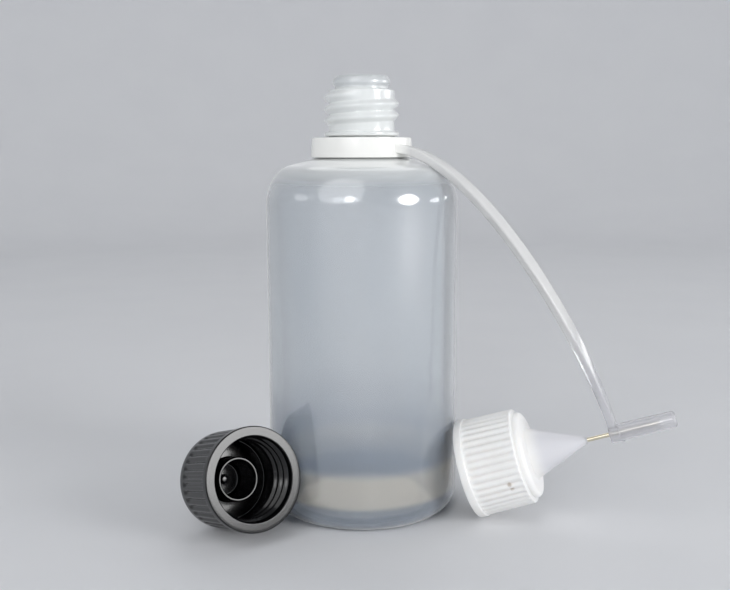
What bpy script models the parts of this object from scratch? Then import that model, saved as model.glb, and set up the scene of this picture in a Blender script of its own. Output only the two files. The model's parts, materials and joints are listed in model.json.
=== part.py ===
"""Needle tip applicator bottle, 60 ml, with its caps off.

A blown squeeze bottle stands on its base. A moulded tether swivels on its
neck: a collar, a strap that curls over the shoulder, and a closed sleeve that
keeps the needle of the nozzle cap covered. The black closing cap leans beside
the bottle. Metres, +Z up, origin on the table in the middle of the footprint.
"""
from math import cos, pi, radians, sin, tan

import bmesh
import bpy
from mathutils import Matrix, Vector

mm = 0.001

# Bottle body
body_radius = 18.5 * mm
body_height = 60.0 * mm
wall = 0.95 * mm
heel_radius = 3.8 * mm
standing_ring_width = 1.8 * mm
push_up = 1.3 * mm
push_up_slope = radians(50)
sweep_radius = 9.0 * mm
sweep_angle = radians(38)
corner_radius = 5.0 * mm
crown_slope = radians(15.5)

# Neck, thread and lip
neck_radius = 6.26 * mm
neck_bore_radius = 4.2 * mm
neck_root_fillet = 0.7 * mm
flange_radius = 7.1 * mm
flange_thickness = 0.75 * mm
neck_length = 7.85 * mm
thread_pitch = 2.13 * mm
thread_turns = 2.75
thread_height = 0.84 * mm
thread_root_width = 1.5 * mm
thread_crest_width = 0.55 * mm
thread_start = 1.05 * mm
thread_fade = 0.18
lip_height = 2.6 * mm
lip_radius = 5.47 * mm
lip_groove_radius = 5.1 * mm
lip_face_width = 0.6 * mm

# Tether: collar, strap and needle sleeve
collar_height = 3.75 * mm
collar_radius = 9.75 * mm
collar_draft = 0.25 * mm
collar_skirt = 1.25 * mm
collar_plate = 1.2 * mm
collar_edge = 0.15 * mm
strap_azimuth = radians(-46.9)
strap_width = 2.5 * mm
strap_thickness = 1.6 * mm
strap_edge = 0.3 * mm
strap_root_drop = radians(0.6)
strap_root_reach = 14.0 * mm
strap_end_reach = 20.35 * mm
strap_twist = radians(38)
strap_rise = 0.86 * mm
sleeve_radius = 1.62 * mm
sleeve_tip_radius = 1.54 * mm
sleeve_length = 12.25 * mm
sleeve_end_round = 0.7 * mm
sleeve_bore_radius = 0.75 * mm
sleeve_mouth_radius = 1.0 * mm
eye_radius = 1.74 * mm
eye_thickness = 1.9 * mm

# Closing threads and ribbed skirt, the same on both caps
rim_radius = 9.5 * mm
rim_band = 1.5 * mm
rim_edge = 0.2 * mm
skirt_length = 11.2 * mm
skirt_taper = 0.45 * mm
rib_count = 40
rib_depth = 0.34 * mm
rib_run_out = 0.3 * mm
grip_step = 0.14 * mm
cap_wall = 1.52 * mm
cap_bore_depth = 10.9 * mm
bore_chamfer = 0.25 * mm
plug_reach = 4.4 * mm
plug_wall = 0.55 * mm

# Nozzle cap and its needle
nozzle_step = 0.85 * mm
dome_edge_radius = 0.95 * mm
dome_height = 1.3 * mm
dome_crown = 0.1 * mm
cone_base_radius = 4.9 * mm
cone_end_radius = 0.8 * mm
cone_length = 10.3 * mm
nib_radius = 0.65 * mm
nib_length = 0.5 * mm
needle_radius = 0.4 * mm
needle_bore_radius = 0.25 * mm
needle_out = 13.3 * mm
needle_in = 4.9 * mm
needle_bare = 4.2 * mm

# Black closing cap
black_cap_length = 14.8 * mm
black_cap_round = 3.0 * mm
black_recess_radius = 3.3 * mm
black_recess_depth = 13.3 * mm

# Where the caps lie
nozzle_azimuth = radians(-15.1)
nozzle_tilt = radians(18.6)
nozzle_lean_azimuth = radians(-19.6)
black_azimuth = radians(-55.1)
black_tilt = radians(16)
black_rim_ahead = 6.6 * mm

# Clearances
collar_clearance = 0.3 * mm
lean_clearance = 0.4 * mm
black_lean_clearance = 0.4 * mm
needle_clearance = 0.1 * mm
needle_tip_clearance = 0.3 * mm
plug_clearance = 0.15 * mm

# Facets round each turned form
body_segments = 72
neck_segments = 36
collar_segments = 60
cap_segments = 40
nozzle_segments = 20
sleeve_segments = 24
strap_stations = 44
thread_steps = 36


def arc(centre, radius, start, end, steps):
    """Points of an arc in the radius, height plane, both ends included."""
    points = []
    for i in range(steps + 1):
        angle = start + (end - start) * i / steps
        points.append((centre[0] + radius * cos(angle), centre[1] + radius * sin(angle)))
    return points


def material(name, colour, roughness, metallic=0.0):
    """A plain Principled finish for one sub-part."""
    made = bpy.data.materials.new(name)
    made.use_nodes = True
    shader = made.node_tree.nodes["Principled BSDF"]
    shader.inputs["Base Color"].default_value = (*colour, 1.0)
    shader.inputs["Roughness"].default_value = roughness
    shader.inputs["Metallic"].default_value = metallic
    made.diffuse_color = (*colour, 1.0)
    return made


def ring(bm, radius, height, count, groove=0.0):
    """Vertices round the local Z axis; every other one lies a groove deeper."""
    if radius < 1e-7:
        return [bm.verts.new((0.0, 0.0, height))]
    verts = []
    for i in range(count):
        reach = radius - (groove if i % 2 else 0.0)
        angle = 2 * pi * i / count
        verts.append(bm.verts.new((reach * cos(angle), reach * sin(angle), height)))
    return verts


def bridge(bm, lower, upper):
    """Faces between two rings, which may have different numbers of vertices."""
    n, m = len(lower), len(upper)
    if n == 1 or m == 1:
        around = upper if n == 1 else lower
        for i in range(len(around)):
            following = around[(i + 1) % len(around)]
            if n == 1:
                bm.faces.new((lower[0], following, around[i]))
            else:
                bm.faces.new((around[i], following, upper[0]))
        return
    if n == m:
        for i in range(n):
            k = (i + 1) % n
            bm.faces.new((lower[i], lower[k], upper[k], upper[i]))
        return
    i = j = 0
    while i < n or j < m:
        if j == m or (i < n and (i + 1) / n <= (j + 1) / m):
            bm.faces.new((lower[i % n], lower[(i + 1) % n], upper[j % m]))
            i += 1
        else:
            bm.faces.new((lower[i % n], upper[(j + 1) % m], upper[j % m]))
            j += 1


def turned(bm, profile, closed=False):
    """Turn a profile of (radius, height, count, groove) rings about local Z."""
    rings = [ring(bm, *point) for point in profile]
    for lower, upper in zip(rings, rings[1:]):
        bridge(bm, lower, upper)
    if closed:
        bridge(bm, rings[-1], rings[0])


def rings_of(points, count):
    """Plain rings from (radius, height) points."""
    return [(radius, height, count, 0.0) for radius, height in points]


def make_object(name, bm, finish=None, matrix=None, sharp=35):
    """One closed, outward facing mesh as an object, smooth with sharp edges."""
    bmesh.ops.recalc_face_normals(bm, faces=bm.faces)
    mesh = bpy.data.meshes.new(name)
    bm.to_mesh(mesh)
    bm.free()
    mesh.shade_smooth()
    mesh.set_sharp_from_angle(angle=radians(sharp))
    made = bpy.data.objects.new(name, mesh)
    bpy.context.scene.collection.objects.link(made)
    if finish:
        mesh.materials.append(finish)
    if matrix:
        made.matrix_world = matrix
    return made


def tool(name, bm):
    """A helper solid that only shapes another object."""
    made = make_object(name, bm)
    made.hide_render = True
    made.display_type = "WIRE"
    return made


def combine(target, other, operation):
    """Join or cut a sub-part with a helper solid."""
    step = target.modifiers.new(other.name, "BOOLEAN")
    step.operation = operation
    step.solver = "EXACT"
    step.object = other


def sweep_centre():
    """Centre of the large shoulder arc."""
    return body_radius - sweep_radius, body_height


def corner_centre():
    """Centre of the tighter arc between the shoulder arc and the crown."""
    centre = sweep_centre()
    step = sweep_radius - corner_radius
    return centre[0] + step * cos(sweep_angle), centre[1] + step * sin(sweep_angle)


def crown_height(radius, inset=0.0):
    """Height of the conical crown at a radius, on the skin or inside the wall."""
    centre = corner_centre()
    reach = corner_radius - inset
    edge_radius = centre[0] + reach * sin(crown_slope)
    edge_height = centre[1] + reach * cos(crown_slope)
    return edge_height + (edge_radius - radius) * tan(crown_slope)


def shell_side(inset):
    """The bottle's side from its standing ring to the crown's outer edge."""
    standing = body_radius - heel_radius
    heel_steps, sweep_steps, corner_steps = (5, 5, 4) if inset == 0 else (3, 4, 3)
    crown_start = pi / 2 - crown_slope
    points = arc((standing, heel_radius), heel_radius - inset, -pi / 2, 0, heel_steps)
    points += arc(sweep_centre(), sweep_radius - inset, 0, sweep_angle, sweep_steps)
    points += arc(corner_centre(), corner_radius - inset, sweep_angle, crown_start, corner_steps)[1:]
    return points


def base_profile(inset):
    """The pushed-up base, from its centre out to the standing ring."""
    ring_inner = body_radius - heel_radius - standing_ring_width
    rise = push_up / tan(push_up_slope)
    shift = inset * tan(push_up_slope / 2)
    return [
        (0.0, push_up + inset),
        (ring_inner - rise - shift, push_up + inset),
        (ring_inner - shift, inset),
    ]


def collar_bottom():
    """Height of the collar's skirt, just clear of the crown."""
    return crown_height(collar_radius) + collar_clearance / cos(crown_slope)


def collar_top():
    return collar_bottom() + collar_height


def flange_bottom():
    return collar_top() + collar_clearance


def flange_top():
    return flange_bottom() + flange_thickness


def mouth_height():
    return flange_top() + neck_length + lip_height


def neck_profile():
    """The neck's outer side from the crown to the mouth."""
    root = crown_height(neck_radius + neck_root_fillet)
    lip_base = flange_top() + neck_length
    edge = 0.18 * mm
    lip_widest = lip_base + 0.58 * lip_height
    face_radius = neck_bore_radius + lip_face_width
    points = [
        (neck_radius + neck_root_fillet, root),
        (neck_radius + 0.25 * neck_root_fillet, root + 0.35 * neck_root_fillet),
        (neck_radius, root + neck_root_fillet),
        (neck_radius, flange_bottom()),
        (flange_radius - edge, flange_bottom()),
        (flange_radius, flange_bottom() + edge),
        (flange_radius, flange_top() - edge),
        (flange_radius - edge, flange_top()),
        (neck_radius, flange_top()),
        (neck_radius, lip_base),
        (lip_groove_radius, lip_base + 0.12 * lip_height),
        (lip_groove_radius, lip_base + 0.24 * lip_height),
    ]
    points.append((lip_radius, lip_widest - 0.12 * lip_height))
    points.append((lip_radius, lip_widest))
    points.append((lip_radius - 0.3 * (lip_radius - face_radius), lip_base + 0.8 * lip_height))
    points.append((face_radius + 0.2 * (lip_radius - face_radius), lip_base + 0.95 * lip_height))
    points.append((face_radius, mouth_height()))
    return points


def thread_solid():
    """The neck's helical thread ridge, which fades out at both ends."""
    bm = bmesh.new()
    steps = round(thread_steps * thread_turns)
    buried = neck_radius - 0.4 * (neck_radius - neck_bore_radius)
    sections = []
    for i in range(steps + 1):
        turn = thread_turns * i / steps
        fade = min(1.0, turn / thread_fade, (thread_turns - turn) / thread_fade)
        crest = neck_radius + thread_height * (0.03 + 0.97 * sin(fade * pi / 2))
        angle = 2 * pi * turn
        middle = flange_top() + thread_start + thread_pitch * turn
        section = []
        for radius, offset in (
            (buried, -thread_root_width / 2),
            (crest, -thread_crest_width / 2),
            (crest, thread_crest_width / 2),
            (buried, thread_root_width / 2),
        ):
            place = (radius * cos(angle), radius * sin(angle), middle + offset)
            section.append(bm.verts.new(place))
        sections.append(section)
    for near, far in zip(sections, sections[1:]):
        bridge(bm, near, far)
    bm.faces.new(sections[0])
    bm.faces.new(reversed(sections[-1]))
    return tool("thread_ridge", bm)


def make_bottle():
    """The blown bottle: one open shell with base, shoulder, neck and lip."""
    bore_join = crown_height(neck_bore_radius, wall)
    outer = base_profile(0.0) + shell_side(0.0)
    inner = base_profile(wall) + shell_side(wall)
    profile = rings_of(outer, body_segments)
    profile += rings_of(neck_profile(), neck_segments)
    profile += rings_of([(neck_bore_radius, mouth_height()), (neck_bore_radius, bore_join)], neck_segments)
    profile += rings_of(reversed(inner), body_segments)
    bm = bmesh.new()
    turned(bm, profile)
    finish = material("blown_ldpe", (0.62, 0.66, 0.70), 0.3)
    bottle = make_object("bottle_body", bm, finish)
    combine(bottle, thread_solid(), "UNION")
    return bottle


def collar_solid(bm):
    """The collar: a plate round the neck with a skirt resting on the crown."""
    hole = neck_radius + collar_clearance
    skirt_inner = collar_radius - collar_skirt
    inner_foot = crown_height(skirt_inner) + collar_clearance / cos(crown_slope)
    bottom, top = collar_bottom(), collar_top()
    points = [
        (skirt_inner, inner_foot),
        (collar_radius - collar_edge, bottom + collar_edge * tan(crown_slope)),
        (collar_radius, bottom + collar_edge),
        (collar_radius - collar_draft, top - collar_edge),
        (collar_radius - collar_draft - collar_edge, top),
        (hole + collar_edge, top),
        (hole, top - collar_edge),
        (hole, top - collar_plate),
        (skirt_inner, top - collar_plate),
    ]
    turned(bm, rings_of(points, collar_segments), closed=True)


def nozzle_matrix():
    """Rim centre and pointing axis of the nozzle cap, which leans on the bottle."""
    reach = body_radius + lean_clearance
    back = rim_radius * sin(nozzle_tilt)
    place = Vector((
        reach * cos(nozzle_lean_azimuth) + back * cos(nozzle_azimuth),
        reach * sin(nozzle_lean_azimuth) + back * sin(nozzle_azimuth),
        rim_radius * cos(nozzle_tilt),
    ))
    turn = Matrix.Rotation(nozzle_azimuth, 4, "Z") @ Matrix.Rotation(pi / 2 - nozzle_tilt, 4, "Y")
    return Matrix.Translation(place) @ turn


def nozzle_tip():
    """Distance from the nozzle cap's rim to the end of its nib."""
    return skirt_length + dome_height + cone_length + nib_length


def sleeve_start():
    """Distance from the nozzle cap's rim to the mouth of the needle sleeve."""
    return nozzle_tip() + needle_bare


def sleeve_solid():
    """The closed needle sleeve with the round eye that ends the strap."""
    start = sleeve_start()
    end = start + sleeve_length
    edge = 0.3 * mm
    points = [
        (0.0, start),
        (eye_radius - edge, start),
        (eye_radius, start + edge),
        (eye_radius, start + eye_thickness - edge),
        (sleeve_radius, start + eye_thickness),
        (sleeve_tip_radius, end - sleeve_end_round),
    ]
    centre = (sleeve_tip_radius - sleeve_end_round, end - sleeve_end_round)
    points += arc(centre, sleeve_end_round, 0, pi / 2, 3)[1:]
    points.append((0.0, end))
    bm = bmesh.new()
    turned(bm, rings_of(points, sleeve_segments))
    bmesh.ops.transform(bm, matrix=nozzle_matrix(), verts=bm.verts)
    return tool("sleeve_form", bm)


def sleeve_bore():
    """The blind hole that the needle sits in, flared at its mouth."""
    start = sleeve_start()
    depth = nozzle_tip() + needle_out + needle_tip_clearance
    flare = sleeve_mouth_radius - sleeve_bore_radius
    points = [
        (0.0, start - flare),
        (sleeve_mouth_radius + flare, start - flare),
        (sleeve_bore_radius, start + flare),
        (sleeve_bore_radius, depth),
        (0.0, depth + sleeve_bore_radius / 2),
    ]
    bm = bmesh.new()
    turned(bm, rings_of(points, sleeve_segments))
    bmesh.ops.transform(bm, matrix=nozzle_matrix(), verts=bm.verts)
    return tool("sleeve_bore", bm)


def strap_solid():
    """The strap: a rounded band on one smooth curve, twisting as it falls."""
    matrix = nozzle_matrix()
    root_radius = collar_radius - collar_skirt / 2
    root_height = collar_bottom() + strap_thickness / 2 + strap_rise
    root = Vector((root_radius * cos(strap_azimuth), root_radius * sin(strap_azimuth), root_height))
    end = matrix @ Vector((0.0, 0.0, sleeve_start() + eye_thickness / 2))
    across = Vector((end.x - root.x, end.y - root.y, 0.0)).normalized()
    leaving = across * cos(strap_root_drop) - Vector((0.0, 0.0, sin(strap_root_drop)))
    arriving = matrix.to_3x3() @ Vector((1.0, 0.0, 0.0))
    handles = [root, root + leaving * strap_root_reach, end - arriving * strap_end_reach, end]
    half_width, half_thickness = strap_width / 2, strap_thickness / 2
    outline = [
        (half_width - strap_edge, half_thickness),
        (-half_width + strap_edge, half_thickness),
        (-half_width, half_thickness - strap_edge),
        (-half_width, -half_thickness + strap_edge),
        (-half_width + strap_edge, -half_thickness),
        (half_width - strap_edge, -half_thickness),
        (half_width, -half_thickness + strap_edge),
        (half_width, half_thickness - strap_edge),
    ]
    bm = bmesh.new()
    sections = []
    for i in range(strap_stations + 1):
        u = i / strap_stations
        v = 1 - u
        place = handles[0] * v ** 3 + handles[1] * 3 * u * v * v
        place += handles[2] * 3 * u * u * v + handles[3] * u ** 3
        along = (handles[1] - handles[0]) * v * v + (handles[2] - handles[1]) * 2 * u * v
        along += (handles[3] - handles[2]) * u * u
        along.normalize()
        level = Vector((along.y, -along.x, 0.0)).normalized()
        face = level.cross(along)
        twist = strap_twist * sin(pi * u)
        width_way = level * cos(twist) - face * sin(twist)
        thick_way = face * cos(twist) + level * sin(twist)
        sections.append([bm.verts.new(place + width_way * w + thick_way * t) for w, t in outline])
    for near, far in zip(sections, sections[1:]):
        bridge(bm, near, far)
    bm.faces.new(sections[0])
    bm.faces.new(reversed(sections[-1]))
    return tool("strap_form", bm)


def make_tether():
    """Collar, strap and sleeve, moulded together in one piece."""
    bm = bmesh.new()
    collar_solid(bm)
    tether = make_object("tether", bm, material("moulded_white_pe", (0.86, 0.86, 0.84), 0.35))
    combine(tether, strap_solid(), "UNION")
    combine(tether, sleeve_solid(), "UNION")
    combine(tether, sleeve_bore(), "DIFFERENCE")
    return tether


def skirt_rings():
    """The caps' outer side: plain rim band and ribbed grip, as ring data."""
    ribbed = 2 * rib_count
    band_radius = rim_radius - skirt_taper * rim_band / skirt_length
    grip_radius = band_radius - grip_step
    end_radius = rim_radius - skirt_taper
    return [
        (rim_radius - rim_edge, 0.0, ribbed, 0.0),
        (rim_radius, rim_edge, ribbed, 0.0),
        (band_radius, rim_band, ribbed, 0.0),
        (grip_radius, rim_band + rib_run_out, ribbed, rib_depth),
        (end_radius, skirt_length - rib_run_out, ribbed, rib_depth),
    ]


def cap_bore_rings(inside):
    """The caps' threaded bore and the plug that enters the bottle's mouth."""
    bore = rim_radius - skirt_taper - cap_wall + 0.15 * mm
    plug = neck_bore_radius - plug_clearance
    tip = cap_bore_depth - plug_reach
    edge = 0.15 * mm
    points = inside + [
        (plug - plug_wall, tip + edge),
        (plug - plug_wall + edge, tip),
        (plug - edge, tip),
        (plug, tip + edge),
        (plug, cap_bore_depth),
        (bore, cap_bore_depth),
        (bore, bore_chamfer),
        (bore + bore_chamfer, 0.0),
    ]
    return rings_of(points, cap_segments)


def make_nozzle_cap(matrix):
    """White cap: ribbed skirt, shallow dome and a long cone round the needle."""
    step_radius = rim_radius - skirt_taper - nozzle_step
    cone_base = skirt_length + dome_height
    cone_end = cone_base + cone_length
    tip = nozzle_tip()
    needle_hole = needle_radius + needle_clearance
    plug_inner = neck_bore_radius - plug_clearance - plug_wall
    needle_back = tip - needle_in - needle_clearance
    profile = skirt_rings()
    edge_centre = (step_radius - dome_edge_radius, cone_base - dome_edge_radius)
    dome = arc(edge_centre, dome_edge_radius, 0, pi / 2, 4)
    profile += rings_of([(step_radius, skirt_length)] + dome, cap_segments)
    profile += rings_of([
        (cone_base_radius, cone_base + dome_crown),
        (cone_end_radius, cone_end),
        (nib_radius, cone_end + 0.1 * mm),
        (nib_radius, tip - 0.12 * mm),
        (nib_radius - 0.08 * mm, tip),
        (needle_hole, tip),
        (needle_hole, needle_back),
    ], nozzle_segments)
    passage = [(needle_hole, needle_back - 0.5 * mm), (plug_inner, cap_bore_depth)]
    profile += rings_of(passage[:1], nozzle_segments)
    profile += cap_bore_rings(passage[1:])
    bm = bmesh.new()
    turned(bm, profile, closed=True)
    return make_object("nozzle_cap", bm, material("moulded_white_pp", (0.9, 0.9, 0.89), 0.3), matrix)


def make_needle(matrix):
    """Blunt steel tube, seated in the cone and reaching into the sleeve."""
    tip = nozzle_tip() + needle_out
    back = nozzle_tip() - needle_in
    edge = 0.05 * mm
    points = [
        (needle_bore_radius, back),
        (needle_radius, back),
        (needle_radius, tip - edge),
        (needle_radius - edge, tip),
        (needle_bore_radius, tip),
    ]
    bm = bmesh.new()
    turned(bm, rings_of(points, nozzle_segments), closed=True)
    return make_object("needle", bm, material("drawn_steel", (0.72, 0.7, 0.66), 0.22, 1.0), matrix)


def black_outer_rings():
    """The black cap's outer side, from its rim to the middle of its top."""
    end_radius = rim_radius - skirt_taper
    centre = (end_radius - black_cap_round, black_cap_length - black_cap_round)
    corner = arc(centre, black_cap_round, radians(8), pi / 2, 5)
    top = [(r, h) for r, h in corner] + [(0.0, black_cap_length)]
    return skirt_rings() + rings_of(top, cap_segments)


def black_matrix(outer):
    """The black cap lies on the heel of its skirt with its rim at the bottle."""
    height = max(radius * cos(black_tilt) + depth * sin(black_tilt) for radius, depth, *_ in outer)
    skirt_there = rim_radius - skirt_taper * black_rim_ahead / skirt_length
    reach = body_radius + black_lean_clearance + skirt_there
    place = Vector((
        reach * sin(black_azimuth) + black_rim_ahead * cos(black_azimuth),
        -reach * cos(black_azimuth) + black_rim_ahead * sin(black_azimuth),
        height,
    ))
    turn = Matrix.Rotation(black_azimuth, 4, "Z") @ Matrix.Rotation(-pi / 2 - black_tilt, 4, "Y")
    return Matrix.Translation(place) @ turn


def make_black_cap():
    """Black closing cap with the same ribbed skirt and plug."""
    outer = black_outer_rings()
    recess = [
        (0.0, black_recess_depth),
        (black_recess_radius - 0.4 * mm, black_recess_depth),
        (black_recess_radius, black_recess_depth - 0.4 * mm),
    ]
    bm = bmesh.new()
    turned(bm, outer)
    outer_rim = list(bm.verts)[:2 * rib_count]
    inner = cap_bore_rings(recess)
    rings = [ring(bm, *point) for point in inner]
    for lower, upper in zip(rings, rings[1:]):
        bridge(bm, lower, upper)
    bridge(bm, rings[-1], outer_rim)
    return make_object("black_cap", bm, material("moulded_black_pp", (0.012, 0.012, 0.013), 0.3),
                       black_matrix(outer))


def centre_on_table():
    """Slide the whole assembly so that its footprint is centred on the origin."""
    bpy.context.view_layer.update()
    pieces = [piece for piece in bpy.data.objects if piece.type == "MESH"]
    corners = [piece.matrix_world @ vert.co for piece in pieces for vert in piece.data.vertices]
    middle = Vector((0.0, 0.0, 0.0))
    for axis in (0, 1):
        places = [corner[axis] for corner in corners]
        middle[axis] = (min(places) + max(places)) / 2
    for piece in bpy.data.objects:
        if piece.parent is None:
            piece.location -= middle
    bpy.context.view_layer.update()


def main():
    for old in list(bpy.data.objects):
        bpy.data.objects.remove(old, do_unlink=True)
    make_bottle()
    make_tether()
    nozzle_axis = bpy.data.objects.new("nozzle_axis", None)
    bpy.context.scene.collection.objects.link(nozzle_axis)
    nozzle_axis.matrix_world = nozzle_matrix()
    for piece in (make_nozzle_cap(nozzle_matrix()), make_needle(nozzle_matrix())):
        piece.parent = nozzle_axis
        piece.matrix_parent_inverse = nozzle_axis.matrix_world.inverted()
    make_black_cap()
    centre_on_table()


main()
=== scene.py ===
# %% [markdown]
# A needle tip applicator bottle is a soft squeeze bottle for flux, glue or oil.
# This lesson dresses its measured parts: a blown bottle, a moulded tether with
# a needle sleeve, a ribbed nozzle cap with its needle, and a black closing cap.
# The frame holds the real sizes and places, and every piece here is drawn
# finer round the same axes, so that edges, threads and ribs catch the light.

# %% Load the measured frame
import json
from math import ceil, cos, exp, pi, radians, sin, tan

import bmesh
import bpy
from mathutils import Matrix, Vector


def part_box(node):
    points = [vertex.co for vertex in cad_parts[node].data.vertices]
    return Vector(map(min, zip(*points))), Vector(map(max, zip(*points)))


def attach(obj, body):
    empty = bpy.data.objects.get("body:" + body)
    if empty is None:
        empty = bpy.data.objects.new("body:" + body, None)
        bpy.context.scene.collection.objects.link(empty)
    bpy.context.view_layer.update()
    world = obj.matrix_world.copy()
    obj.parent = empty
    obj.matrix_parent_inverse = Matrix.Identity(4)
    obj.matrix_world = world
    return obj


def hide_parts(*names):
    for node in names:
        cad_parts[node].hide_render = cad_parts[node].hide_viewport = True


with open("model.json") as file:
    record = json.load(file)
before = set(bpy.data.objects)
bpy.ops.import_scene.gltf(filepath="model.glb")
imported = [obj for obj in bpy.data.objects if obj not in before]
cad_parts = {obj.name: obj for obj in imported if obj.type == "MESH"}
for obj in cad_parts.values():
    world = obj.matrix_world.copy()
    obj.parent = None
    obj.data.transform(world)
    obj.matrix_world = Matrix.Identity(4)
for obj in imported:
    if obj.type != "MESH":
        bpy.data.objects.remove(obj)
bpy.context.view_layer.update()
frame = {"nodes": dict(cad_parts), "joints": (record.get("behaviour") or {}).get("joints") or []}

mm = 0.001

# %% [markdown]
# Three axes place everything. The tether turns on the bottle's own axis and the
# nozzle cap turns on its needle, so both come from the frame's joints. The
# black cap only leans on the bottle, so its axis is built from its two angles,
# and its rim's middle is the middle of the rim's own corner points.

# %% Find the three axes
joints = {joint["name"]: joint for joint in frame["joints"]}


def standing(direction, place):
    """A matrix whose local Z runs along a direction from a place."""
    turn = Vector(direction).to_track_quat("Z", "X").to_matrix().to_4x4()
    return Matrix.Translation(place) @ turn


swivel = Vector(joints["collar_swivel"]["pos_m"])
bottle_place = Matrix.Translation((swivel.x, swivel.y, 0.0))
needle_axis = Vector(joints["needle_spin"]["axis"]).normalized()
black_azimuth = radians(-55.1)
black_tilt = radians(16)
black_turn = Matrix.Rotation(black_azimuth, 4, "Z") @ Matrix.Rotation(-pi / 2 - black_tilt, 4, "Y")
into_black = (black_turn @ Vector((0.0, 0.0, 1.0))).normalized()
print("needle points along", [round(c, 3) for c in needle_axis])

# %% [markdown]
# The photograph was taken from just above the shoulder's height, about 19 cm in
# front of the bottle. Long phone lenses flatten a scene, and this short range
# does the opposite: the mouth is seen from below and the base from above.

# %% Set the camera
photo_width = 730
focal_pixels = 959.2
sensor_width = 36.0
camera_offset = Vector((0.53, -186.2, 70.2)) * mm
camera_pitch = radians(8.60)
camera_roll = radians(-0.19)

lens = bpy.data.cameras.new("photo_camera")
lens.sensor_width = sensor_width
lens.lens = focal_pixels * sensor_width / photo_width
lens.clip_start = 0.01
lens.clip_end = 20.0
camera = bpy.data.objects.new("photo_camera", lens)
bpy.context.scene.collection.objects.link(camera)
aim = Matrix.Rotation(pi / 2 - camera_pitch, 4, "X") @ Matrix.Rotation(camera_roll, 4, "Z")
camera.matrix_world = Matrix.Translation(bottle_place.translation + camera_offset) @ aim
bpy.context.scene.camera = camera
print("lens", round(lens.lens, 1), "mm")

# %% [markdown]
# Every moulded piece here is round, so one way of drawing serves them all. A
# profile is a few corners in radius and height, each with its fillet, because
# a mould never leaves a perfectly sharp edge. The profile is turned into rows
# of points, and a relief function pushes each point in or out along the
# surface. Threads, ribs and seams are then all small hills on a smooth wall,
# with soft roots and crests like those that a mould gives.

# %% Draw profiles with rounded corners
def rounded(corners, step=radians(14)):
    """Profile points from (radius, height, fillet) corners."""
    points = []
    for i, (radius, height, fillet) in enumerate(corners):
        here = Vector((radius, height))
        if fillet == 0 or i in (0, len(corners) - 1):
            points.append(here)
            continue
        back = Vector(corners[i - 1][:2]) - here
        onward = Vector(corners[i + 1][:2]) - here
        half = back.angle(onward) / 2
        reach = min(fillet / tan(half), 0.49 * min(back.length, onward.length))
        bend = reach * tan(half)
        inward = (back.normalized() + onward.normalized()).normalized()
        middle = here + inward * bend / sin(half)
        start = here + back.normalized() * reach - middle
        finish = here + onward.normalized() * reach - middle
        turn = (pi - 2 * half) * (1 if start.x * finish.y > start.y * finish.x else -1)
        steps = max(2, ceil(abs(turn) / step))
        for k in range(steps + 1):
            a = turn * k / steps
            points.append(middle + Vector((start.x * cos(a) - start.y * sin(a),
                                           start.x * sin(a) + start.y * cos(a))))
    return points


def arc(centre, radius, start, end, steps):
    """Points along an arc in the radius, height plane."""
    angles = [start + (end - start) * i / steps for i in range(steps + 1)]
    return [Vector((centre[0] + radius * cos(a), centre[1] + radius * sin(a))) for a in angles]


def spaced(points, gap):
    """The same profile with extra points, so that none are further apart than a gap."""
    dense = [points[0]]
    for near, far in zip(points, points[1:]):
        count = max(1, ceil((far - near).length / gap))
        dense += [near.lerp(far, k / count) for k in range(1, count + 1)]
    return dense


# %% Turn a profile into a mesh
def even(count):
    """Angles all round, evenly spaced."""
    return [2 * pi * i / count for i in range(count)]


def rows(points, angles, relief=None):
    """Rows of a turned surface: point, outward normal, angles and relief."""
    made = []
    for i, point in enumerate(points):
        run = points[min(i + 1, len(points) - 1)] - points[max(i - 1, 0)]
        outward = Vector((run.y, -run.x)).normalized()
        made.append((point, outward, angles, relief))
    return made


def add_row(bm, row):
    """The vertices of one row, or a single vertex on the axis."""
    point, outward, angles, relief = row
    if point.x < 1e-7:
        lift = relief(0.0, 0.0, point.y) if relief else 0.0
        return [bm.verts.new((0.0, 0.0, point.y + outward.y * lift))]
    verts = []
    for angle in angles:
        lift = relief(angle, point.x, point.y) if relief else 0.0
        radius = point.x + outward.x * lift
        verts.append(bm.verts.new((radius * cos(angle), radius * sin(angle), point.y + outward.y * lift)))
    return verts


def bridge(bm, lower, upper):
    """Faces between two rows, which may differ in their number of vertices."""
    n, m = len(lower), len(upper)
    if n == 1 or m == 1:
        for i in range(max(n, m)):
            k = (i + 1) % max(n, m)
            bm.faces.new((lower[0], upper[k], upper[i]) if n == 1 else (lower[i], lower[k], upper[0]))
    elif n == m:
        for i in range(n):
            k = (i + 1) % n
            bm.faces.new((lower[i], lower[k], upper[k], upper[i]))
    else:
        i = j = 0
        while i < n or j < m:
            if j == m or (i < n and (i + 1) / n <= (j + 1) / m):
                bm.faces.new((lower[i % n], lower[(i + 1) % n], upper[j % m]))
                i += 1
            else:
                bm.faces.new((lower[i % n], upper[(j + 1) % m], upper[j % m]))
                j += 1


def turned(bm, profile, closed=False):
    """Join the rows of a profile round the local Z axis."""
    rings = [add_row(bm, row) for row in profile]
    for lower, upper in zip(rings, rings[1:]):
        bridge(bm, lower, upper)
    if closed:
        bridge(bm, rings[-1], rings[0])


# %% Finish a mesh as an object
def make_piece(name, bm, place, sharp=40):
    """A smooth shaded object with its mesh placed in the frame."""
    bmesh.ops.recalc_face_normals(bm, faces=bm.faces)
    bmesh.ops.transform(bm, matrix=place, verts=bm.verts)
    mesh = bpy.data.meshes.new(name)
    bm.to_mesh(mesh)
    bm.free()
    mesh.shade_smooth()
    mesh.set_sharp_from_angle(angle=radians(sharp))
    made = bpy.data.objects.new(name, mesh)
    bpy.context.scene.collection.objects.link(made)
    return made


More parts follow.
